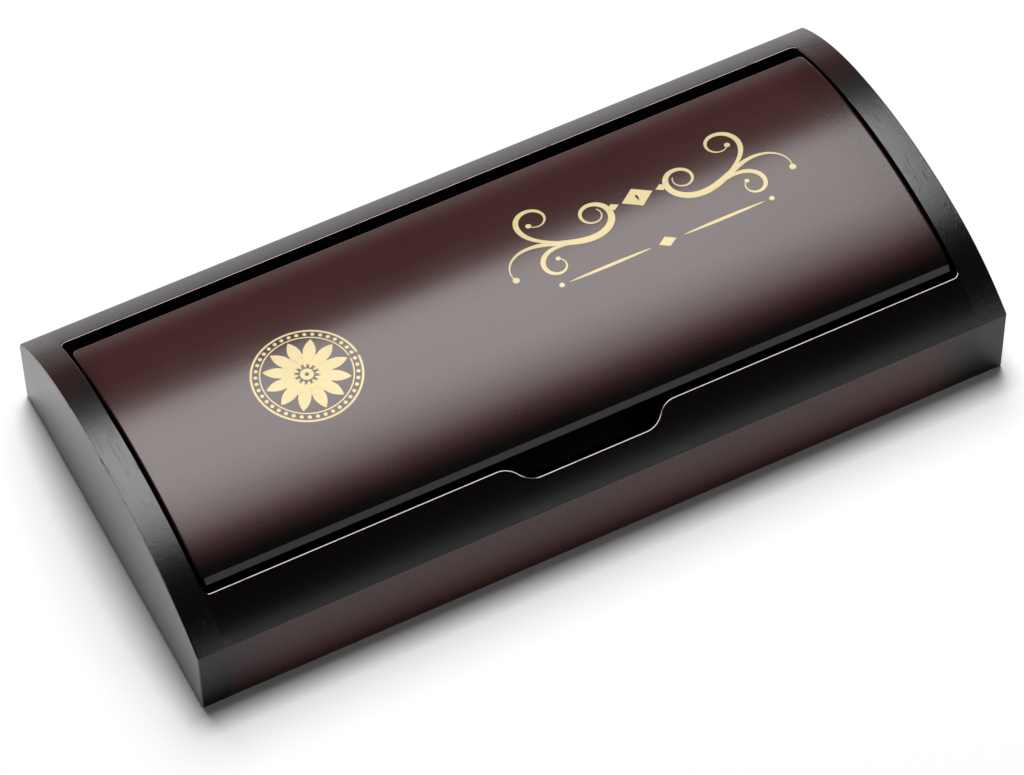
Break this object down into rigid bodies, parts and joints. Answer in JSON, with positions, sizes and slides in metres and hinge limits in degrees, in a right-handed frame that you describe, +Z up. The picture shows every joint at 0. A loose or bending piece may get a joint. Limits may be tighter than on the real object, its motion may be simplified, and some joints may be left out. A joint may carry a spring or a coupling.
{
  "type": "pen box",
  "caption": "Low wooden pen box with a crowned top, an inset lid that swings on side pins near the back, a finger notch in the front rail and a lined tray with pen grooves inside.",
  "frame": {"origin": "middle of the underside, on the surface that the box stands on", "axes": "+X along the length to the right as seen from the front, +Y towards the back where the lid is hinged, +Z up"},
  "size_m": [0.175, 0.0832, 0.0292],
  "materials": {
    "lacquered_wood": "satin lacquer, dark red-brown shading to black at the edges",
    "bare_wood": "sanded, unfinished",
    "felt": "pressed felt",
    "velvet": "short black velvet pile",
    "pin_steel": "ground",
    "bush_brass": "turned",
    "plated_magnet": "nickel plated"
  },
  "bodies": {
    "case": {"left_end_board": "lacquered_wood", "right_end_board": "lacquered_wood", "front_rail": "lacquered_wood", "back_rail": "lacquered_wood", "corner_dowels": "bare_wood", "base_board": "bare_wood", "base_felt": "felt", "pen_tray": "velvet", "front_wall_lining": "velvet", "back_wall_lining": "velvet", "left_wall_lining": "velvet", "right_wall_lining": "velvet", "left_hinge_pin": "pin_steel", "right_hinge_pin": "pin_steel", "rail_magnets": "plated_magnet"},
    "lid": {"lid_panel": "lacquered_wood", "lid_lining": "velvet", "left_hinge_bush": "bush_brass", "right_hinge_bush": "bush_brass", "lid_magnets": "plated_magnet"}
  },
  "joints": [
    {"name": "lid_hinge", "type": "hinge", "parent": "case", "child": "lid", "pos_m": [0, 0.0261, 0.0191], "axis": [-1, 0, 0], "range_deg": [0, 96]}
  ]
}
